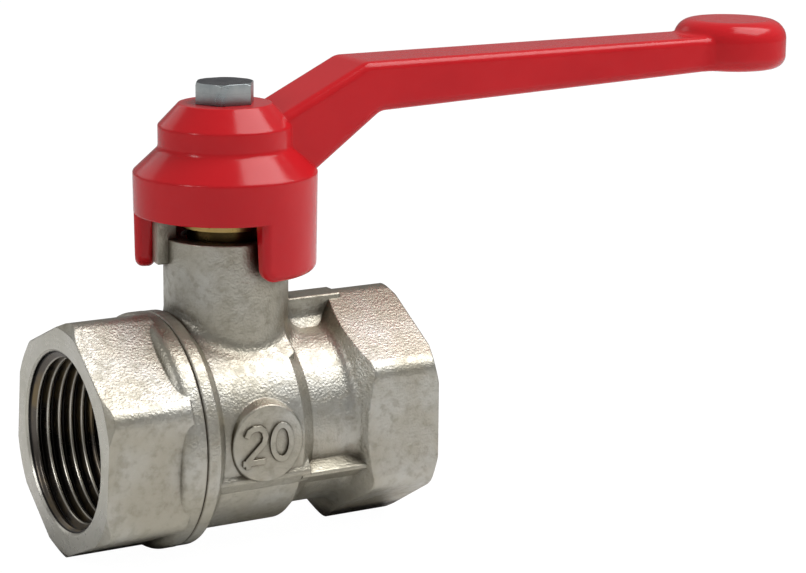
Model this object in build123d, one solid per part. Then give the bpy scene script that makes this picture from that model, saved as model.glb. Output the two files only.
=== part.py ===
from build123d import *
import os
from math import atan2, cos, radians, sin, sqrt, tan

# Ball valve with two female pipe ends and a cranked lever.
# Millimetres. Origin: centre of the ball. +X: flow from inlet to outlet, and the lever when open.
# +Z: along the stem, towards the lever. Rest pose: valve open.

# Pipe ends: G 3/4 female thread, left plain at the thread's major radius
THREAD_R = 13.22
INLET_FACE_X = -26.5
OUTLET_FACE_X = 27.3
INLET_DEPTH = 12.8
OUTLET_DEPTH = 12.5
MOUTH_CHAMFER = 0.3

# Outside of the forgings
INLET_HEX_AF = 32.0
INLET_HEX_TURN = 36.8
OUTLET_HEX_AF = 31.6
OUTLET_HEX_TURN = 30.0
HEX_RIDGE_R = 3.2
FACE_RIM_R = 16.8
FACE_CHAMFER_SLOPE = 0.7
COLLAR_R = 17.45
COLLAR_START_X = -15.4
COLLAR_ROUND = 1.9
JOINT_X = -11.68
RIM_R = 17.4
RIM_END_X = -9.7
BARREL_START_X = -8.1
BARREL_R = 15.56
BARREL_END_X = 4.7
WAIST_R = 13.75
WAIST_START_X = 7.2
WAIST_END_X = 14.1
RUNOUT_SLOPE = 1.71
RUNOUT_ROUND = 2.0
STEP_ROUND = 0.4
SEAM_CHAMFER = 0.25
BARREL_RIB = (15.35, -4.8)
WAIST_RIB = (15.1, -5.4)
RIB_LAND = 0.5
RIB_ROUND = 0.3
WEB_HALF_WIDTH = 2.3
WEB_TOP_Z = 17.75
WEB_FOOT_R = 1.5
WEB_END_X = 18.0
BADGE_X = -1.4
BADGE_Z = 0.4
BADGE_R = 5.65
BADGE_DRAFT = 18.0
BADGE_Y = -15.95
FIGURE_HEIGHT = 5.0
FIGURE_WIDTH = 3.0
FIGURE_STROKE = 0.85
FIGURE_RELIEF = 0.35

# Neck, packing chamber and stop lug
NECK_R = 9.18
NECK_TOP_Z = 28.06
NECK_FILLET = 2.6
CHAMBER_R = 6.5
CHAMBER_FLOOR_Z = 18.5
LUG_R = 10.7
LUG_INNER_R = 7.8
LUG_BOTTOM_Z = 24.4
LUG_TOP_Z = 31.2

# Ball, seats and cavity
BALL_R = 12.3
WATERWAY_R = 7.75
CAVITY_R = 12.9
SEAT_BORE_R = 8.0
SEAT_R = 11.0
SEAT_FRONT_X = 8.5
SEAT_BACK_X = 12.0
SLOT_WIDTH = 3.6
SLOT_FLOOR_Z = 9.5

# Screwed joint between the end connector and the body
NOSE_R = 13.9
NOSE_BORE_R = 12.0
NOSE_END_X = -6.7
SEAL_THICK = 0.5

# Stem and its seals
STEM_R = 4.5
STEM_FLANGE_R = 5.9
STEM_FLANGE_Z = 12.7
STEM_FLANGE_THICK = 2.0
TANG_LENGTH = 8.0
WASHER_THICK = 1.16
O_RING_Z = 17.2
O_RING_SECTION_R = 0.62
DRIVE_FLAT = 3.4
STEM_SHOULDER_Z = 35.4
STEM_TOP_Z = 44.9
PACKING_THICK = 2.0
GLAND_THREAD_Z = 22.75
GLAND_HEAD_R = 6.9
GLAND_WAIST_R = 5.6
GLAND_HEAD_Z = 29.6
GLAND_TOP_Z = 32.6

# Lever
SKIRT_R = 13.5
SKIRT_FOOT_R = 13.3
SKIRT_BORE_R = 9.7
SKIRT_BOTTOM_Z = 31.55
SKIRT_TOP_Z = 37.55
DRUM_R = 9.8
DRUM_BOTTOM_Z = 41.06
DRUM_TOP_Z = 44.32
CROWN_R = 6.8
CROWN_Z = 47.5
HUB_EDGE_R = 0.45
DRUM_ROOT_R = 1.0
HUB_FLOOR_Z = 35.5
EAR_BOTTOM_Z = 23.0
EAR_INNER_FOOT_R = 10.6
EAR_CORNER_R = 2.0
EAR_START = 88.0
EAR_END = 156.0
STOP_GAP = 0.5
ARM_WIDTH = 11.0
ARM_END_WIDTH = 10.2
ARM_TOP_Z = 52.65
ARM_TOP_BEND_X = 20.9
ARM_RISE_START = (6.0, 45.4)
ARM_UNDER_START = (9.0, 34.8)
ARM_UNDER_BEND = (23.4, 45.17)
ARM_UNDER_INSET = 1.6
ARM_UNDER_END_Z = 47.3
ARM_EDGE_R = 1.2
ARM_BEND_R = 3.0
KNOB_X = 91.6
KNOB_R = 9.1
KNOB_BOTTOM_Z = 47.0
KNOB_TOP_Z = 54.69
KNOB_TOP_EDGE_R = 3.0
KNOB_BOTTOM_EDGE_R = 2.0
KNOB_FLARE_R = 5.0
KNOB_ROOT_R = 1.1

# Lever bolt, M5 with an 8 mm hexagon head
BOLT_R = 2.45
BOLT_LENGTH = 10.0
BOLT_HEAD_AF = 8.0
BOLT_HEAD_HEIGHT = 3.1
BOLT_HEAD_TURN = -2.3

# Named clearances
JOINT_GAP = 0.02
THREAD_GAP = 0.05
RUNNING_GAP = 0.05
SEAT_GAP = 0.05
SLOT_GAP = 0.1


def rounded(*corners):
    """Face from (u, v, radius) corners; a radius of 0 leaves the corner sharp."""
    face = make_face(Polyline(*[(u, v) for u, v, r in corners], close=True))
    for u, v, r in corners:
        if r > 0:
            face = fillet(face.vertices().sort_by_distance((u, v, 0))[0], r)
    return face


def turned_x(*points):
    """Solid of revolution about X from (x, r) corners."""
    return revolve(make_face(Polyline(*points, close=True)), Axis.X, 360)


def turned_z(*points):
    """Solid of revolution about Z from (r, z) corners."""
    return revolve(Plane.XZ * make_face(Polyline(*points, close=True)), Axis.Z, 360)


def rod_x(r, x0, x1):
    """Plain cylinder along X."""
    return turned_x((x0, 0), (x1, 0), (x1, r), (x0, r))


def rod_z(r, z0, z1):
    """Plain cylinder along Z."""
    return turned_z((0, z0), (r, z0), (r, z1), (0, z1))


def ring_x(r_in, r_out, x0, x1):
    """Plain ring along X."""
    return turned_x((x0, r_in), (x1, r_in), (x1, r_out), (x0, r_out))


def ring_z(r_in, r_out, z0, z1):
    """Plain ring along Z."""
    return turned_z((r_in, z0), (r_out, z0), (r_out, z1), (r_in, z1))


def wedge_z(r_in, r_out, z0, z1, start, end):
    """Part of a ring about Z between two angles from +X."""
    profile = Plane.XZ * make_face(Polyline((r_in, z0), (r_out, z0), (r_out, z1), (r_in, z1), close=True))
    return Rot(Z=start) * revolve(profile, Axis.Z, end - start)


def hexagon_x(flats, turn, x0, x1):
    """Hexagon bar along X with rounded ridges."""
    outline = RegularPolygon(flats / 2, 6, major_radius=False, rotation=turn)
    outline = fillet(outline.vertices(), HEX_RIDGE_R)
    return extrude(Plane.YZ.offset(x0) * outline, x1 - x0)


def seat(sign):
    """PTFE ring with a hollow spherical face against the ball; sign picks the side."""
    hollow_r = BALL_R + SEAT_GAP
    outer = (SEAT_FRONT_X, sqrt(hollow_r**2 - SEAT_FRONT_X**2))
    inner = (sqrt(hollow_r**2 - SEAT_BORE_R**2), SEAT_BORE_R)
    middle = atan2(outer[1] + inner[1], outer[0] + inner[0])
    back = SEAT_BACK_X - JOINT_GAP
    profile = make_face(
        Polyline(inner, (back, SEAT_BORE_R), (back, SEAT_R), (SEAT_FRONT_X, SEAT_R), outer)
        + ThreePointArc(outer, (hollow_r * cos(middle), hollow_r * sin(middle)), inner))
    ring = revolve(profile, Axis.X, 360)
    return ring if sign > 0 else mirror(ring, Plane.YZ)


def make_end_connector():
    """Inlet end: hexagon, collar against the body's rim and the screwed nose inside it."""
    face, inner = INLET_FACE_X, COLLAR_START_X + COLLAR_ROUND
    reach = INLET_HEX_AF / 2 / cos(radians(30)) + 0.3
    lathe = turned_x(
        (face, 0),
        (face, FACE_RIM_R),
        (face + (reach - FACE_RIM_R) * FACE_CHAMFER_SLOPE, reach),
        (inner - (reach - COLLAR_R) / RUNOUT_SLOPE, reach),
        (inner, COLLAR_R),
        (inner, 0),
    )
    hexagon = hexagon_x(INLET_HEX_AF, INLET_HEX_TURN, face, inner) & lathe
    back = JOINT_X - JOINT_GAP
    corner = COLLAR_ROUND * (1 - sqrt(0.5))
    collar = make_face(
        Polyline((COLLAR_START_X, COLLAR_R - COLLAR_ROUND), (COLLAR_START_X, 0), (back, 0),
                 (back, COLLAR_R - SEAM_CHAMFER), (back - SEAM_CHAMFER, COLLAR_R), (inner, COLLAR_R))
        + ThreePointArc((inner, COLLAR_R), (COLLAR_START_X + corner, COLLAR_R - corner),
                        (COLLAR_START_X, COLLAR_R - COLLAR_ROUND))
    )
    shape = hexagon + revolve(collar, Axis.X, 360) + rod_x(NOSE_R, inner, NOSE_END_X)
    bore_floor = INLET_FACE_X + INLET_DEPTH
    shape -= turned_x(
        (face - 1, 0), (face - 1, THREAD_R + MOUTH_CHAMFER + 1), (face + MOUTH_CHAMFER, THREAD_R),
        (bore_floor, THREAD_R), (bore_floor + 0.6, SEAT_BORE_R), (-SEAT_BACK_X, SEAT_BORE_R),
        (-SEAT_BACK_X, SEAT_R + THREAD_GAP), (-SEAT_FRONT_X, SEAT_R + THREAD_GAP),
        (-SEAT_FRONT_X + 0.7, NOSE_BORE_R), (NOSE_END_X + 1, NOSE_BORE_R), (NOSE_END_X + 1, 0),
    )
    return shape


def make_neck(barrel_r, x0, x1):
    """Neck with its root fillet on a barrel of the given radius, cut to a stretch of X."""
    blank = rod_x(barrel_r, -2 * NECK_R, 2 * NECK_R) + rod_z(NECK_R, 0, NECK_TOP_Z)
    root = [e for e in blank.edges() if e.geom_type != GeomType.CIRCLE and e.geom_type != GeomType.LINE
            and e.center().Z > 0]
    blank = fillet(root, NECK_FILLET)
    height = NECK_TOP_Z - 6
    keep = Pos((x0 + x1) / 2, 0, 6 + height / 2) * Box(x1 - x0, 4 * NECK_R, height)
    return blank & keep & rod_z(NECK_R + NECK_FILLET, 0, NECK_TOP_Z)


def make_badge():
    """Round raised boss on the front of the barrel with the nominal bore, 20, in relief."""
    depth = 3.0
    boss = Plane(origin=(BADGE_X, BADGE_Y + depth / 2, BADGE_Z), z_dir=(0, -1, 0)) * Cone(
        BADGE_R + depth * tan(radians(BADGE_DRAFT)), BADGE_R, depth)
    boss = fillet(boss.edges().sort_by(Axis.Y)[0], 0.3)
    w, h, pitch = FIGURE_WIDTH, FIGURE_HEIGHT, FIGURE_WIDTH + 1.2
    two = Polyline((-w / 2, h * 0.26), (-w * 0.36, h * 0.43), (-w * 0.1, h / 2), (w * 0.2, h / 2),
                   (w * 0.42, h * 0.4), (w / 2, h * 0.22), (w * 0.42, h * 0.04),
                   (-w * 0.42, -h * 0.42), (-w * 0.42, -h / 2), (w / 2, -h / 2))
    stroke = FIGURE_STROKE / 2
    figures = Pos(-pitch / 2, 0) * trace(two, FIGURE_STROKE)
    figures += Pos(pitch / 2, 0) * (Ellipse(w / 2 + stroke, h / 2 + stroke)
                                    - Ellipse(w / 2 - stroke, h / 2 - stroke))
    front = Plane(origin=(BADGE_X, BADGE_Y + 0.2, BADGE_Z), x_dir=(1, 0, 0), z_dir=(0, -1, 0))
    return boss + extrude(front * figures, FIGURE_RELIEF + 0.2)


def make_body():
    """Body forging: rim, barrel, waist, outlet hexagon, neck, stop lug, web and ribs."""
    corner_r = OUTLET_HEX_AF / 2 / cos(radians(30)) + 0.3
    runout_x = WAIST_END_X + (corner_r - WAIST_R) / RUNOUT_SLOPE
    lathe = revolve(rounded(
        (JOINT_X, 0, 0),
        (JOINT_X, RIM_R - SEAM_CHAMFER, 0),
        (JOINT_X + SEAM_CHAMFER, RIM_R, 0),
        (RIM_END_X, RIM_R, STEP_ROUND),
        (BARREL_START_X, BARREL_R, STEP_ROUND),
        (BARREL_END_X, BARREL_R, 0),
        (WAIST_START_X, WAIST_R, 0),
        (WAIST_END_X - 1, WAIST_R, 0),
        (WAIST_END_X - 1, 0, 0),
    ), Axis.X, 360)
    limit = revolve(rounded(
        (WAIST_END_X - 2, 0, 0),
        (WAIST_END_X - 2, WAIST_R, 0),
        (WAIST_END_X, WAIST_R, RUNOUT_ROUND),
        (runout_x, corner_r, 0),
        (OUTLET_FACE_X - (corner_r - FACE_RIM_R) * FACE_CHAMFER_SLOPE, corner_r, 0),
        (OUTLET_FACE_X, FACE_RIM_R, 0),
        (OUTLET_FACE_X, 0, 0),
    ), Axis.X, 360)
    hexagon = hexagon_x(OUTLET_HEX_AF, OUTLET_HEX_TURN, WAIST_END_X - 2, OUTLET_FACE_X) & limit
    shape = lathe + hexagon
    middle = (BARREL_END_X + WAIST_START_X) / 2
    shape += make_neck(BARREL_R, JOINT_X, middle) + make_neck(WAIST_R, middle, 2 * NECK_R)
    half, foot = WEB_HALF_WIDTH, WEB_HALF_WIDTH + WEB_FOOT_R
    web = rounded((-half, WEB_TOP_Z, 0.4), (-half, WAIST_R + 1.1, WEB_FOOT_R), (-foot, WAIST_R - 1, 0),
                  (foot, WAIST_R - 1, 0), (half, WAIST_R + 1.1, WEB_FOOT_R), (half, WEB_TOP_Z, 0.4))
    shape += extrude(Plane.YZ.offset(BARREL_END_X) * web, WEB_END_X - BARREL_END_X)
    (barrel_y, barrel_z), (waist_y, waist_z) = BARREL_RIB, WAIST_RIB
    barrel_rib = rounded(
        (-barrel_y, barrel_z, RIB_ROUND), (-barrel_y, barrel_z - RIB_LAND, RIB_ROUND),
        (1.2 - barrel_y, barrel_z - 1.9, 0), (1.95 - barrel_y, barrel_z - 1.9, 0),
        (1.95 - barrel_y, barrel_z + 1.8, 0), (1 - barrel_y, barrel_z + 1.8, 0))
    waist_rib = rounded(
        (-waist_y, waist_z, RIB_ROUND), (-waist_y, waist_z - RIB_LAND, RIB_ROUND),
        (2.5 - waist_y, waist_z - 2.2, 0), (4 - waist_y, waist_z - 2.2, 0), (4 - waist_y, waist_z + 2.7, 0))
    for section, start, end in ((barrel_rib, RIM_END_X, middle), (waist_rib, BARREL_END_X, WEB_END_X)):
        rib = extrude(Plane.YZ.offset(start) * section, end - start)
        shape += rib
        shape += mirror(rib, Plane.XZ)
    shape += make_badge()
    shape += wedge_z(LUG_INNER_R, LUG_R, LUG_BOTTOM_Z, LUG_TOP_Z, EAR_END + STOP_GAP,
                     EAR_START + 90 - STOP_GAP)
    floor_x = OUTLET_FACE_X - OUTLET_DEPTH
    shape -= turned_x(
        (JOINT_X - 1, 0), (JOINT_X - 1, NOSE_R + THREAD_GAP), (NOSE_END_X + SEAL_THICK, NOSE_R + THREAD_GAP),
        (NOSE_END_X + SEAL_THICK, CAVITY_R), (5.2, CAVITY_R), (SEAT_FRONT_X - 0.02, SEAT_R + THREAD_GAP),
        (SEAT_BACK_X, SEAT_R + THREAD_GAP), (SEAT_BACK_X, SEAT_BORE_R), (floor_x - 0.6, SEAT_BORE_R),
        (floor_x, THREAD_R), (OUTLET_FACE_X - MOUTH_CHAMFER, THREAD_R),
        (OUTLET_FACE_X + 1, THREAD_R + MOUTH_CHAMFER + 1), (OUTLET_FACE_X + 1, 0),
    )
    washer_top = STEM_FLANGE_Z + STEM_FLANGE_THICK + WASHER_THICK + 2 * JOINT_GAP
    shape -= rod_z(STEM_FLANGE_R + 0.15, 0, washer_top)
    shape -= rod_z(STEM_R + RUNNING_GAP, 0, CHAMBER_FLOOR_Z + 1)
    shape -= rod_z(CHAMBER_R, CHAMBER_FLOOR_Z, NECK_TOP_Z + 1)
    return shape


def make_ball():
    """Bored ball with an open slot across its top for the stem's tang."""
    shape = Sphere(BALL_R) - rod_x(WATERWAY_R, -2 * BALL_R, 2 * BALL_R)
    shape -= Pos(0, 0, SLOT_FLOOR_Z + BALL_R / 2) * Box(SLOT_WIDTH, 3 * BALL_R, BALL_R)
    return shape


def drive_section(flat_gap, round_gap):
    """Round section with two flats, as on the stem's top."""
    return Circle(STEM_R + round_gap) & Rectangle(4 * STEM_R, 2 * (DRIVE_FLAT + flat_gap))


def make_stem():
    """Stem: tang, thrust flange, grooved shank and a two-flat top tapped for the bolt."""
    washer_z = STEM_FLANGE_Z + STEM_FLANGE_THICK
    groove = 2 * O_RING_SECTION_R + 0.1
    neck_r = STEM_R - 2 * O_RING_SECTION_R
    shape = turned_z(
        (0, STEM_FLANGE_Z), (STEM_FLANGE_R, STEM_FLANGE_Z), (STEM_FLANGE_R, washer_z), (STEM_R, washer_z),
        (STEM_R, O_RING_Z - groove / 2), (neck_r, O_RING_Z - groove / 2), (neck_r, O_RING_Z + groove / 2),
        (STEM_R, O_RING_Z + groove / 2), (STEM_R, STEM_SHOULDER_Z), (0, STEM_SHOULDER_Z),
    )
    tang_z = SLOT_FLOOR_Z + SLOT_GAP
    tang = Pos(0, 0, (tang_z + washer_z) / 2) * Box(SLOT_WIDTH - 2 * SLOT_GAP, TANG_LENGTH, washer_z - tang_z)
    shape += tang & rod_z(STEM_FLANGE_R, 0, washer_z)
    shape += extrude(Plane.XY.offset(STEM_SHOULDER_Z - 1) * drive_section(0, 0),
                     STEM_TOP_Z - STEM_SHOULDER_Z + 1)
    hole_floor = CROWN_Z - BOLT_LENGTH - 1
    shape -= rod_z(BOLT_R + THREAD_GAP, hole_floor, STEM_TOP_Z + 1)
    return shape


def make_gland_nut():
    """Round packing nut: plain-modelled thread in the chamber, collar with two key slots above."""
    shape = turned_z(
        (STEM_R + 2 * RUNNING_GAP, GLAND_THREAD_Z), (CHAMBER_R - THREAD_GAP, GLAND_THREAD_Z),
        (CHAMBER_R - THREAD_GAP, NECK_TOP_Z - 0.4), (GLAND_WAIST_R, NECK_TOP_Z - 0.4),
        (GLAND_WAIST_R, GLAND_HEAD_Z), (GLAND_HEAD_R, GLAND_HEAD_Z),
        (GLAND_HEAD_R, GLAND_TOP_Z - 0.5), (GLAND_HEAD_R - 0.5, GLAND_TOP_Z),
        (STEM_R + 2 * RUNNING_GAP, GLAND_TOP_Z),
    )
    return shape - Pos(0, 0, GLAND_TOP_Z) * Box(4 * GLAND_HEAD_R, 1.6, 2.4)


def make_bolt():
    """Hexagon-headed bolt, its thread left plain."""
    across = BOLT_HEAD_AF / cos(radians(30)) / 2
    top = CROWN_Z + BOLT_HEAD_HEIGHT
    head = extrude(Plane.XY.offset(CROWN_Z) * RegularPolygon(across, 6, rotation=BOLT_HEAD_TURN),
                   BOLT_HEAD_HEIGHT)
    head &= turned_z((0, CROWN_Z), (2 * across, CROWN_Z), (2 * across, top - 2 * across * tan(radians(20))),
                     (across * 0.9, top), (0, top))
    shape = head + rod_z(BOLT_R, CROWN_Z - BOLT_LENGTH, CROWN_Z)
    return chamfer(shape.edges().sort_by(Axis.Z)[0], 0.4)


def make_arm():
    """Cranked arm with the round knob at its end."""
    side = Polyline(
        ARM_RISE_START, (ARM_TOP_BEND_X, ARM_TOP_Z), (KNOB_X, ARM_TOP_Z),
        (KNOB_X - ARM_UNDER_INSET, ARM_UNDER_END_Z),
        ARM_UNDER_BEND, ARM_UNDER_START, close=True)
    face = make_face(side)
    bends = [v for v in face.vertices()
             if abs(v.X - ARM_TOP_BEND_X) < 0.1 or abs(v.X - ARM_UNDER_BEND[0]) < 0.1]
    face = fillet(bends, ARM_BEND_R)
    arm = extrude(Plane.XZ * face, ARM_WIDTH, both=True)
    plan = make_face(Polyline(
        (0, -ARM_WIDTH / 2), (ARM_TOP_BEND_X, -ARM_WIDTH / 2), (KNOB_X + 2, -ARM_END_WIDTH / 2),
        (KNOB_X + 2, ARM_END_WIDTH / 2), (ARM_TOP_BEND_X, ARM_WIDTH / 2), (0, ARM_WIDTH / 2), close=True))
    plan += Pos(KNOB_X, 0) * Circle(KNOB_R - 0.25)
    roots = [v for v in plan.vertices() if KNOB_X - KNOB_R < v.X < KNOB_X - 1]
    plan = fillet(roots, KNOB_FLARE_R)
    arm &= extrude(Plane.XY.offset(SKIRT_BOTTOM_Z) * plan, 30)
    sides = [f for f in arm.faces() if abs(f.normal_at().Y) > 0.9]
    rims = [e for f in sides for e in f.edges()
            if e.length > 4 and 8 < e.center().X < KNOB_X - 0.5 and abs((e % 0.5).X) > 0.3]
    return fillet(rims, ARM_EDGE_R)


def make_ear():
    """Stop ear below the skirt, from +X round towards +Y, its foot rounded all about."""
    profile = Plane.XZ * make_face(Polyline(
        (EAR_INNER_FOOT_R, EAR_BOTTOM_Z), (SKIRT_FOOT_R, EAR_BOTTOM_Z),
        (SKIRT_R - 0.08, SKIRT_BOTTOM_Z), (SKIRT_R - 0.08, SKIRT_BOTTOM_Z + 1),
        (SKIRT_BORE_R, SKIRT_BOTTOM_Z + 1), (SKIRT_BORE_R, SKIRT_BOTTOM_Z), close=True))
    ear = revolve(profile, Axis.Z, EAR_END - EAR_START)
    corners = [e for e in ear.edges().filter_by(GeomType.LINE) if abs(e.center().Z - EAR_BOTTOM_Z) < 0.01]
    ear = fillet(corners, EAR_CORNER_R)
    foot = [e for e in ear.edges()
            if e.center().Z < EAR_BOTTOM_Z + EAR_CORNER_R and e.geom_type != GeomType.LINE]
    return fillet(foot, (SKIRT_FOOT_R - EAR_INNER_FOOT_R) * 0.4)


def make_lever():
    """Cast lever: hub with skirt and two stop ears, cranked arm and knob."""
    hub = revolve(Plane.XZ * rounded(
        (0, SKIRT_BOTTOM_Z, 0), (SKIRT_R - 0.08, SKIRT_BOTTOM_Z, HUB_EDGE_R / 2),
        (SKIRT_R, SKIRT_TOP_Z, HUB_EDGE_R), (DRUM_R, DRUM_BOTTOM_Z, DRUM_ROOT_R),
        (DRUM_R, DRUM_TOP_Z, HUB_EDGE_R), (CROWN_R, CROWN_Z, HUB_EDGE_R / 2), (0, CROWN_Z, 0)), Axis.Z, 360)
    knob = Pos(KNOB_X, 0, 0) * revolve(Plane.XZ * rounded(
        (0, KNOB_BOTTOM_Z, 0), (KNOB_R, KNOB_BOTTOM_Z, KNOB_BOTTOM_EDGE_R),
        (KNOB_R, KNOB_TOP_Z, KNOB_TOP_EDGE_R), (0, KNOB_TOP_Z, 0)), Axis.Z, 360)
    blade = make_arm() + knob
    root = [e for e in blade.edges() if e.center().X < KNOB_X - KNOB_R + 0.5 and abs(e.center().Y) < 0.1
            and abs((e @ 0).Z - ARM_TOP_Z) < 0.01 and e.center().X > ARM_UNDER_BEND[0] + 1]
    shape = hub + fillet(root, KNOB_ROOT_R)
    ear = make_ear()
    for turn in (0, 180):
        shape += Rot(Z=EAR_START + turn) * ear
    shape -= turned_z((0, SKIRT_BOTTOM_Z - 1), (SKIRT_BORE_R, SKIRT_BOTTOM_Z - 1),
                      (SKIRT_BORE_R, HUB_FLOOR_Z - 1), (SKIRT_BORE_R - 1.5, HUB_FLOOR_Z), (0, HUB_FLOOR_Z))
    shape -= extrude(Plane.XY.offset(HUB_FLOOR_Z - 1) * drive_section(RUNNING_GAP, RUNNING_GAP),
                     STEM_TOP_Z + 0.3 - HUB_FLOOR_Z + 1)
    shape -= rod_z(BOLT_R + 0.2, STEM_TOP_Z, CROWN_Z + 1)
    return shape


def packing(level):
    """One PTFE packing ring; level 0 is the lower."""
    z = CHAMBER_FLOOR_Z + JOINT_GAP + level * (PACKING_THICK + JOINT_GAP)
    return ring_z(STEM_R + 0.6 * RUNNING_GAP, CHAMBER_R - THREAD_GAP, z, z + PACKING_THICK)


washer_z = STEM_FLANGE_Z + STEM_FLANGE_THICK + JOINT_GAP
parts = {
    "body": make_body(),
    "end_connector": make_end_connector(),
    "body_joint_seal": ring_x(CAVITY_R + RUNNING_GAP, NOSE_R, NOSE_END_X + JOINT_GAP,
                              NOSE_END_X + SEAL_THICK - JOINT_GAP),
    "ball": make_ball(),
    "inlet_seat": seat(-1),
    "outlet_seat": seat(1),
    "stem": make_stem(),
    "stem_thrust_washer": ring_z(STEM_R + RUNNING_GAP, STEM_FLANGE_R, washer_z, washer_z + WASHER_THICK),
    "stem_o_ring": Pos(0, 0, O_RING_Z) * Torus(STEM_R - O_RING_SECTION_R + 0.02, O_RING_SECTION_R - 0.02),
    "packing_ring_lower": packing(0),
    "packing_ring_upper": packing(1),
    "gland_nut": make_gland_nut(),
    "lever_handle": make_lever(),
    "handle_bolt": make_bolt(),
}

os.makedirs("parts", exist_ok=True)
for name, shape in parts.items():
    export_step(shape, f"parts/{name}.step")
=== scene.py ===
import bpy
import bmesh
from math import cos, pi, radians, sin
from mathutils import Matrix, Vector


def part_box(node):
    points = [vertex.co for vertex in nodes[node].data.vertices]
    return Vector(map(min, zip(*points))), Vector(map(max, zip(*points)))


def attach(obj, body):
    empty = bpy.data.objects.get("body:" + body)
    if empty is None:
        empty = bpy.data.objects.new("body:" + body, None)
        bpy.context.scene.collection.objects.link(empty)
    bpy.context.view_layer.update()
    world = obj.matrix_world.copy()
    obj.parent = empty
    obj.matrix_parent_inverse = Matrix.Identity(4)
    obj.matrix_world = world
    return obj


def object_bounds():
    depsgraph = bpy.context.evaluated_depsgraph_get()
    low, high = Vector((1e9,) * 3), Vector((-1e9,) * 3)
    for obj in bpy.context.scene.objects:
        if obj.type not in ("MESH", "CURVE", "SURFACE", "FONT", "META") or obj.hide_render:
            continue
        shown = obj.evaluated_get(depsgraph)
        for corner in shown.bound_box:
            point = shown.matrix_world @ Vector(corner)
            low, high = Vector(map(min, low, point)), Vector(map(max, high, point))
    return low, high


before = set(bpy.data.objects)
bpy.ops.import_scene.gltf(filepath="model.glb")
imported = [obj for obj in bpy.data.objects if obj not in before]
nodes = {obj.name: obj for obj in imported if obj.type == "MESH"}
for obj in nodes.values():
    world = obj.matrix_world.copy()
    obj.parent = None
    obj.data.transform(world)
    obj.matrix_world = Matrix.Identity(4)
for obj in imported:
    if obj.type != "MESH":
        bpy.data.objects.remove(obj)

CAD_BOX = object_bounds()
MM = 0.001
scene = bpy.context.scene


# Node helpers

def graph(name):
    """New node material: the material, add(type, inputs, settings) that makes a node, the tree."""
    mat = bpy.data.materials.new(name)
    mat.use_nodes = True
    tree = mat.node_tree
    tree.nodes.clear()

    def add(kind, ins=None, **sets):
        node = tree.nodes.new("ShaderNode" + kind)
        for key, value in sets.items():
            setattr(node, key, value)
        for key, value in (ins or {}).items():
            if isinstance(value, bpy.types.NodeSocket):
                tree.links.new(value, node.inputs[key])
            else:
                node.inputs[key].default_value = value
        return node

    return mat, add, tree


def math(add, op, a, b=0.0, clamp=False):
    return add("Math", {0: a, 1: b}, operation=op, use_clamp=clamp).outputs[0]


def ramp(add, value, lo, hi, out_lo=0.0, out_hi=1.0):
    """value from lo..hi to out_lo..out_hi, clamped and smooth."""
    ins = {"Value": value, "From Min": lo, "From Max": hi, "To Min": out_lo, "To Max": out_hi}
    return add("MapRange", ins, interpolation_type="SMOOTHSTEP").outputs["Result"]


def mix(add, factor, a, b):
    return add("Mix", {0: factor, 6: a, 7: b}, data_type="RGBA").outputs[2]


def noise(add, coords, scale, detail=3.0, rough=0.55):
    ins = {"Vector": coords, "Scale": scale, "Detail": detail, "Roughness": rough}
    return add("TexNoise", ins).outputs["Fac"]


def bump(add, height, strength, distance, normal=None):
    ins = {"Height": height, "Strength": strength, "Distance": distance}
    if normal is not None:
        ins["Normal"] = normal
    return add("Bump", ins).outputs["Normal"]


def soft_edges(add, radius):
    """Normal that rounds every edge by that radius, in the shading only."""
    return add("Bevel", {"Radius": radius}, samples=6).outputs["Normal"]


def openness(add, reach):
    """1 in the open, towards 0 in crevices up to that reach; the mask for painted shade."""
    return add("AmbientOcclusion", {"Distance": reach}, samples=8).outputs["AO"]


def radius_about_x(add, xyz):
    """Distance from the pipe's axis, from a SeparateXYZ node."""
    return math(add, "SQRT", math(add, "ADD", math(add, "POWER", xyz.outputs[1], 2.0),
                                  math(add, "POWER", xyz.outputs[2], 2.0)))


def finish_material(mat, add, tree, shader):
    tree.links.new(shader, add("OutputMaterial").inputs["Surface"])
    return mat


# Materials

TURNED_PAST_X = (-20 * MM, 22 * MM)         # faces looking along X beyond these are turned
BORE_EDGE = (13.6 * MM, 13.4 * MM)          # the turned bore begins between these radii
NECK_FOOT_Z = 14.5 * MM
CREST_HIGHLIGHT_RADII = (12.35 * MM, 12.1 * MM)      # radii between which a crest gets a painted highlight
ROOT_SHADE_RADII = (12.95 * MM, 13.1 * MM)       # radii between which a root gets painted shade


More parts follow.
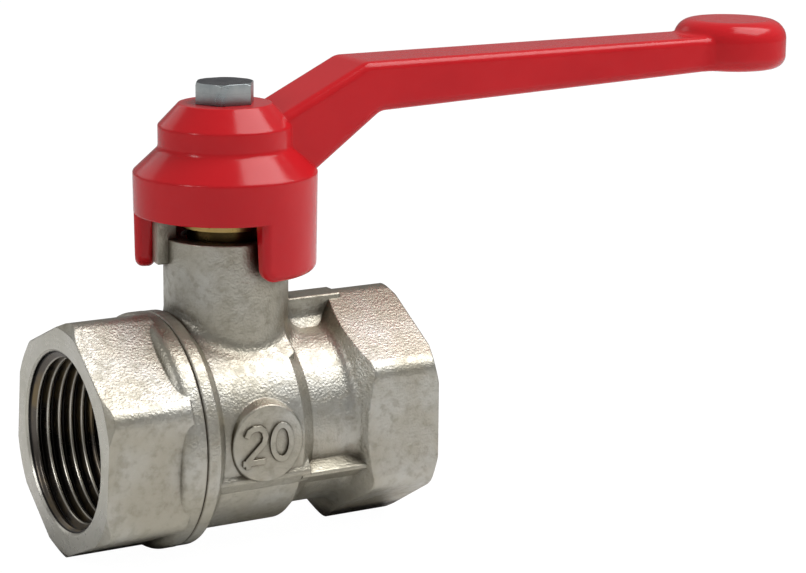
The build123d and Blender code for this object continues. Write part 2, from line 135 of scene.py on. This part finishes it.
def plated_forging():
    """Nickel plate on shot-blasted forged brass, turned at the pipe ends and in the bores."""
    mat, add, tree = graph("nickel_plated_forging")
    at = add("TexCoord").outputs["Object"]
    xyz = add("SeparateXYZ", {0: at})
    x = xyz.outputs[0]
    radius = radius_about_x(add, xyz)
    normal = add("SeparateXYZ", {0: add("NewGeometry").outputs["Normal"]})
    along = math(add, "ABSOLUTE", normal.outputs[0])
    past_end = math(add, "MAXIMUM", math(add, "GREATER_THAN", x, TURNED_PAST_X[1]),
                    math(add, "LESS_THAN", x, TURNED_PAST_X[0]))
    turned = math(add, "MULTIPLY", ramp(add, along, 0.85, 0.92), past_end)
    in_bore = ramp(add, radius, *BORE_EDGE)
    below_neck = math(add, "LESS_THAN", xyz.outputs[2], NECK_FOOT_Z)
    machined = math(add, "MAXIMUM", turned, math(add, "MULTIPLY", in_bore, below_neck), clamp=True)
    cloud = noise(add, at, 90.0, 4.0)
    mottle = noise(add, at, 700.0, 3.0)
    grit = noise(add, at, 3400.0, 2.0, 0.6)
    pits = add("TexVoronoi", {"Vector": at, "Scale": 2300.0}).outputs["Distance"]
    base = mix(add, ramp(add, cloud, 0.35, 0.7), (0.47, 0.44, 0.36, 1), (0.58, 0.57, 0.52, 1))
    base = mix(add, ramp(add, mottle, 0.45, 0.75, 0.0, 0.55), base, (0.36, 0.33, 0.26, 1))
    bright = mix(add, ramp(add, cloud, 0.3, 0.7), (0.6, 0.58, 0.5, 1), (0.68, 0.66, 0.6, 1))
    colour = mix(add, machined, base, bright)
    # Painted shade: the colour goes to near black in crevices and recesses, such as round the neck
    # under the handle.
    crevice_shade = ramp(add, openness(add, 3.2 * MM), 0.4, 0.97)
    colour = mix(add, crevice_shade, (0.07, 0.055, 0.035, 1), colour)
    rough = math(add, "ADD", ramp(add, mottle, 0.3, 0.7, 0.36, 0.5),
                 math(add, "MULTIPLY", machined, -0.12))
    relief = math(add, "ADD", math(add, "MULTIPLY", grit, 0.6), math(add, "MULTIPLY", pits, 0.5))
    rings = add("TexWave", {"Vector": add("CombineXYZ", {0: radius}).outputs[0], "Scale": 420.0,
                            "Distortion": 0.6, "Detail Scale": 6.0},
                bands_direction="X").outputs["Fac"]
    blasted = math(add, "MULTIPLY", relief, math(add, "SUBTRACT", 1.0, machined))
    height = math(add, "ADD", blasted,
                  math(add, "MULTIPLY", rings, math(add, "MULTIPLY", machined, 0.12)))
    surface = bump(add, height, 0.85, 0.09 * MM, soft_edges(add, 0.35 * MM))
    shader = add("BsdfPrincipled", {"Base Color": colour, "Metallic": 1.0, "Roughness": rough,
                                    "Normal": surface})
    return finish_material(mat, add, tree, shader.outputs[0])


def red_coat():
    """Glossy red powder coat with a slight orange peel."""
    mat, add, tree = graph("red_powder_coat")
    at = add("TexCoord").outputs["Object"]
    peel = noise(add, at, 900.0, 2.0, 0.4)
    wave = noise(add, at, 160.0, 2.0, 0.4)
    drift = ramp(add, noise(add, at, 45.0, 3.0), 0.3, 0.7)
    colour = mix(add, drift, (0.6, 0.012, 0.018, 1), (0.67, 0.016, 0.022, 1))
    height = math(add, "ADD", math(add, "MULTIPLY", peel, 0.35), wave)
    surface = bump(add, height, 0.3, 0.05 * MM, soft_edges(add, 0.3 * MM))
    rough = ramp(add, peel, 0.3, 0.7, 0.15, 0.21)
    shader = add("BsdfPrincipled", {"Base Color": colour, "Roughness": rough, "Normal": surface,
                                    "Specular IOR Level": 0.26, "Coat Weight": 0.06,
                                    "Coat Roughness": 0.1})
    return finish_material(mat, add, tree, shader.outputs[0])


def turned_metal(name, dark, light, rough_lo, rough_hi, line_scale, up_face_shade=None):
    """Turned metal with fine rings across Z; a painted shade colour, if given, covers faces that
    look up.
    """
    mat, add, tree = graph(name)
    at = add("TexCoord").outputs["Object"]
    z = add("SeparateXYZ", {0: at}).outputs[2]
    cloud = noise(add, at, 260.0, 4.0)
    across = add("CombineXYZ", {2: math(add, "MULTIPLY", z, line_scale)}).outputs[0]
    lines = noise(add, across, 1.0, 4.0, 0.7)
    line_colour = (dark[0] * 0.35, dark[1] * 0.35, dark[2] * 0.35, 1)
    # Near-black colour for the painted shade in crevices.
    crevice_shade_colour = (dark[0] * 0.08, dark[1] * 0.08, dark[2] * 0.1, 1)
    colour = mix(add, ramp(add, cloud, 0.3, 0.7), dark, light)
    colour = mix(add, ramp(add, lines, 0.55, 0.75, 0.0, 0.6), colour, line_colour)
    # Painted shade: faces that look up take this darker colour.
    if up_face_shade:
        up = add("SeparateXYZ", {0: add("NewGeometry").outputs["Normal"]}).outputs[2]
        colour = mix(add, ramp(add, up, 0.9, 0.98), colour, up_face_shade)
    # Painted shade: the colour darkens towards that near black in crevices, such as the gland nut
    # under the handle.
    colour = mix(add, ramp(add, openness(add, 4.0 * MM), 0.3, 0.9), crevice_shade_colour, colour)
    rough = ramp(add, cloud, 0.3, 0.7, rough_lo, rough_hi)
    height = math(add, "ADD", lines, math(add, "MULTIPLY", cloud, 0.3))
    surface = bump(add, height, 0.5, 0.05 * MM, soft_edges(add, 0.15 * MM))
    shader = add("BsdfPrincipled", {"Base Color": colour, "Metallic": 1.0, "Roughness": rough,
                                    "Normal": surface})
    return finish_material(mat, add, tree, shader.outputs[0])


def polymer(name, dark, light, rough_lo, rough_hi, scale):
    """Moulded or turned PTFE or rubber with faint mottling."""
    mat, add, tree = graph(name)
    at = add("TexCoord").outputs["Object"]
    cloud = noise(add, at, scale, 4.0)
    fine = noise(add, at, scale * 9, 2.0)
    colour = mix(add, ramp(add, cloud, 0.3, 0.7), dark, light)
    surface = bump(add, fine, 0.3, 0.02 * MM)
    rough = ramp(add, cloud, 0.3, 0.7, rough_lo, rough_hi)
    shader = add("BsdfPrincipled", {"Base Color": colour, "Roughness": rough, "Normal": surface})
    return finish_material(mat, add, tree, shader.outputs[0])


def thread_metal():
    """Cut thread: bare brass tint on the flanks, darkened as painted shade; painted highlights on
    the crests, painted shade in the roots.
    """
    mat, add, tree = graph("cut_thread")
    at = add("TexCoord").outputs["Object"]
    radius = radius_about_x(add, add("SeparateXYZ", {0: at}))
    cloud = noise(add, at, 150.0, 4.0)
    chatter = noise(add, at, 1500.0, 3.0)
    # Bare brass tint on the flanks, darkened as painted shade.
    shaded_flank = mix(add, ramp(add, cloud, 0.4, 0.65), (0.13, 0.115, 0.1, 1), (0.22, 0.17, 0.1, 1))
    # Painted highlight: a bright line along each crest.
    crest_highlight = mix(add, ramp(add, radius, *CREST_HIGHLIGHT_RADII), shaded_flank, (0.6, 0.57, 0.5, 1))
    # Painted shade: near black in the roots.
    colour = mix(add, ramp(add, radius, *ROOT_SHADE_RADII), crest_highlight, (0.03, 0.028, 0.027, 1))
    surface = bump(add, chatter, 0.4, 0.03 * MM)
    rough = ramp(add, cloud, 0.3, 0.7, 0.24, 0.36)
    shader = add("BsdfPrincipled", {"Base Color": colour, "Metallic": 1.0, "Roughness": rough,
                                    "Normal": surface})
    return finish_material(mat, add, tree, shader.outputs[0])


FORGING = plated_forging()
RED = red_coat()
BRASS = turned_metal("bare_turned_brass", (0.62, 0.42, 0.14, 1), (0.78, 0.56, 0.22, 1),
                     0.25, 0.36, 5000.0)
# The bolt's upward faces get a near-black painted shade.
ZINC = turned_metal("zinc_plated_bolt", (0.42, 0.47, 0.48, 1), (0.6, 0.64, 0.63, 1),
                    0.26, 0.38, 4200.0, up_face_shade=(0.11, 0.11, 0.13, 1))
CHROME = turned_metal("chromed_ball", (0.7, 0.71, 0.73, 1), (0.78, 0.79, 0.8, 1),
                      0.06, 0.12, 900.0)
PTFE = polymer("white_ptfe", (0.76, 0.76, 0.72, 1), (0.86, 0.86, 0.83, 1), 0.4, 0.55, 300.0)
NITRILE = polymer("black_nitrile", (0.012, 0.012, 0.013, 1), (0.03, 0.03, 0.03, 1),
                  0.5, 0.65, 500.0)
THREAD = thread_metal()

FINISHES = {
    "body": FORGING, "end_connector": FORGING, "body_joint_seal": PTFE, "ball": CHROME,
    "inlet_seat": PTFE, "outlet_seat": PTFE, "stem": BRASS, "stem_thrust_washer": PTFE,
    "stem_o_ring": NITRILE, "packing_ring_lower": PTFE, "packing_ring_upper": PTFE,
    "gland_nut": BRASS, "lever_handle": RED, "handle_bolt": ZINC,
}
for name, mat in FINISHES.items():
    mesh = nodes[name].data
    mesh.materials.clear()
    mesh.materials.append(mat)


# Pipe threads: ridges on the plain bores, right-handed

MAJOR_R = 13.21 * MM
MINOR_R = 12.06 * MM
PITCH = 1.814 * MM
THREAD_INSET = 0.32 * MM        # from the face to the first ridge
THREAD_LENGTH = 11.6 * MM
SIDES = 120
ROWS_PER_PITCH = 14
ROOT_SHARE = 0.12               # flat share of a half pitch at the root, and again at the crest
LEAST_DEPTH = 0.03              # share of the ridge's height left at the root
LEAD_IN = 0.6 * PITCH
RUN_OUT = 1.2 * PITCH


def circle(radius, sides):
    """Pairs of coordinates round a circle."""
    return [(radius * cos(2 * pi * i / sides), radius * sin(2 * pi * i / sides))
            for i in range(sides)]


def join_rings(bm, a, b):
    """Quads between two rings of as many vertices."""
    for j in range(len(a)):
        k = (j + 1) % len(a)
        bm.faces.new((a[j], a[k], b[k], b[j]))


def scene_object(name, bm, material):
    """The finished mesh as an object in the scene."""
    mesh = bpy.data.meshes.new(name)
    bm.to_mesh(mesh)
    bm.free()
    mesh.materials.append(material)
    obj = bpy.data.objects.new(name, mesh)
    scene.collection.objects.link(obj)
    return obj


def pipe_thread(name, mouth_x, inward):
    """Tube whose inside carries the thread's ridges; inward is +1 or -1 along X from the mouth."""
    rows = int(THREAD_LENGTH / PITCH * ROWS_PER_PITCH)
    bm = bmesh.new()

    def inner_r(depth, turn):
        phase = (inward * depth / PITCH - turn) % 1.0
        ridge = 1.0 - abs(2.0 * phase - 1.0)
        ridge = min(max((ridge - ROOT_SHARE) / (1 - 2 * ROOT_SHARE), 0.0), 1.0)
        fade = min(depth / LEAD_IN, 1.0) * min((THREAD_LENGTH - depth) / RUN_OUT, 1.0)
        return MAJOR_R - (MAJOR_R - MINOR_R) * (LEAST_DEPTH + (1 - LEAST_DEPTH) * ridge * fade)

    grid = []
    for i in range(rows + 1):
        depth = THREAD_LENGTH * i / rows
        x = mouth_x + inward * depth
        ring = []
        for j in range(SIDES):
            turn = j / SIDES
            r = inner_r(depth, turn)
            ring.append(bm.verts.new((x, r * cos(2 * pi * turn), r * sin(2 * pi * turn))))
        grid.append(ring)
    for x in (mouth_x + inward * THREAD_LENGTH, mouth_x):
        grid.append([bm.verts.new((x, y, z)) for y, z in circle(MAJOR_R, SIDES)])
    for i in range(len(grid)):
        join_rings(bm, grid[i], grid[(i + 1) % len(grid)])
    bmesh.ops.recalc_face_normals(bm, faces=bm.faces)
    obj = scene_object(name, bm, THREAD)
    for poly in obj.data.polygons:
        poly.use_smooth = True
    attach(obj, "valve_body")


inlet_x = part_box("end_connector")[0][0]
outlet_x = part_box("body")[1][0]
pipe_thread("inlet_thread", inlet_x + THREAD_INSET, 1)
pipe_thread("outlet_thread", outlet_x - THREAD_INSET, -1)


# Floor and backdrop: one plain round sheet, curved up far from the valve

FLOOR_Z = CAD_BOX[0][2] - 0.02 * MM
FLOOR_REACH = 3.0
FLOOR_SIDES = 48
FLOOR_RINGS = 12
FLAT_RINGS = 7
INNER_SHARE = 0.02              # share of the reach taken by the middle, before the first ring
BACKDROP_RISE = 0.35 * FLOOR_REACH
GLOW_STRENGTH = 1.12
GLOW_SHARE = 0.88               # share of the glow in what the camera sees of the floor


def plain_white():
    """Pale diffuse floor that the camera sees mostly as an even glow."""
    mat, add, tree = graph("plain_pale_floor")
    at = add("TexCoord").outputs["Object"]
    tone = mix(add, noise(add, at, 3.0), (0.86, 0.86, 0.86, 1), (0.89, 0.89, 0.89, 1))
    lit = add("BsdfDiffuse", {"Color": tone})
    glow = add("Emission", {"Color": (1, 1, 1, 1), "Strength": GLOW_STRENGTH})
    seen = add("LightPath").outputs["Is Camera Ray"]
    share = math(add, "MULTIPLY", seen, GLOW_SHARE)
    both = add("MixShader", {0: share, 1: lit.outputs[0], 2: glow.outputs[0]})
    return finish_material(mat, add, tree, both.outputs[0])


bm = bmesh.new()
middle = bm.verts.new((0, 0, FLOOR_Z))
rings = []
for i in range(1, FLOOR_RINGS + 1):
    r = FLOOR_REACH * (INNER_SHARE + (1 - INNER_SHARE) * i / FLOOR_RINGS)
    curve = max(i - FLAT_RINGS, 0) / (FLOOR_RINGS - FLAT_RINGS)
    z = FLOOR_Z + BACKDROP_RISE * curve ** 2
    rings.append([bm.verts.new((x, y, z)) for x, y in circle(r, FLOOR_SIDES)])
for j in range(FLOOR_SIDES):
    bm.faces.new((middle, rings[0][j], rings[0][(j + 1) % FLOOR_SIDES]))
for inner, outer in zip(rings, rings[1:]):
    join_rings(bm, outer, inner)
floor = scene_object("floor", bm, plain_white())


# Studio light

SKY_STRENGTH = 0.26
SEEN_SKY_STRENGTH = 1.0
LIGHT_AIM = Vector((0.02, 0, 0.02))

world = bpy.data.worlds.new("studio")
world.use_nodes = True
scene.world = world
tree = world.node_tree
tree.nodes.clear()
path = tree.nodes.new("ShaderNodeLightPath")
pick = tree.nodes.new("ShaderNodeMixShader")
out = tree.nodes.new("ShaderNodeOutputWorld")
tree.links.new(path.outputs["Is Camera Ray"], pick.inputs[0])
for slot, strength in ((1, SKY_STRENGTH), (2, SEEN_SKY_STRENGTH)):
    sky = tree.nodes.new("ShaderNodeBackground")
    sky.inputs["Color"].default_value = (1, 1, 1, 1)
    sky.inputs["Strength"].default_value = strength
    tree.links.new(sky.outputs[0], pick.inputs[slot])
tree.links.new(pick.outputs[0], out.inputs[0])


def softbox(name, direction, distance, size, power):
    """Area light at that direction and distance from the aim point, facing it."""
    spot = LIGHT_AIM + Vector(direction).normalized() * distance
    light = bpy.data.lights.new(name, "AREA")
    light.shape = "RECTANGLE"
    light.size, light.size_y = size
    light.energy = power
    obj = bpy.data.objects.new(name, light)
    facing = (spot - LIGHT_AIM).to_track_quat("Z", "Y").to_matrix().to_4x4()
    obj.matrix_world = Matrix.Translation(spot) @ facing
    scene.collection.objects.link(obj)


softbox("main_softbox", (0.44, -0.27, 0.85), 0.5, (0.38, 0.36), 2.1)
softbox("left_strip", (-0.87, -0.1, 0.48), 0.5, (0.08, 0.2), 0.35)
softbox("back_fill", (-0.3, 0.85, 0.45), 0.8, (0.5, 0.3), 0.3)


# Camera

AZIMUTH, ELEVATION, ROLL = radians(-30.81), radians(12.82), radians(0.53)
DISTANCE = 396.75 * MM
TARGET = Vector((30.34, 0, 16.84)) * MM
SENSOR_WIDTH = 36.0
FOCAL_LENGTH = 115.57
CLIP = (0.01, 50.0)

away = Vector((sin(AZIMUTH) * cos(ELEVATION), -cos(AZIMUTH) * cos(ELEVATION), sin(ELEVATION)))
right = Vector((cos(AZIMUTH), sin(AZIMUTH), 0))
up = away.cross(right)
cam_right = cos(ROLL) * right + sin(ROLL) * up
cam_up = cos(ROLL) * up - sin(ROLL) * right
camera = bpy.data.cameras.new("camera")
camera.sensor_width = SENSOR_WIDTH
camera.lens = FOCAL_LENGTH
camera.clip_start, camera.clip_end = CLIP
cam = bpy.data.objects.new("camera", camera)
turn = Matrix((cam_right, cam_up, away)).transposed().to_4x4()
cam.matrix_world = Matrix.Translation(TARGET + away * DISTANCE) @ turn
scene.collection.objects.link(cam)
scene.camera = cam
scene.view_settings.view_transform = "Standard"
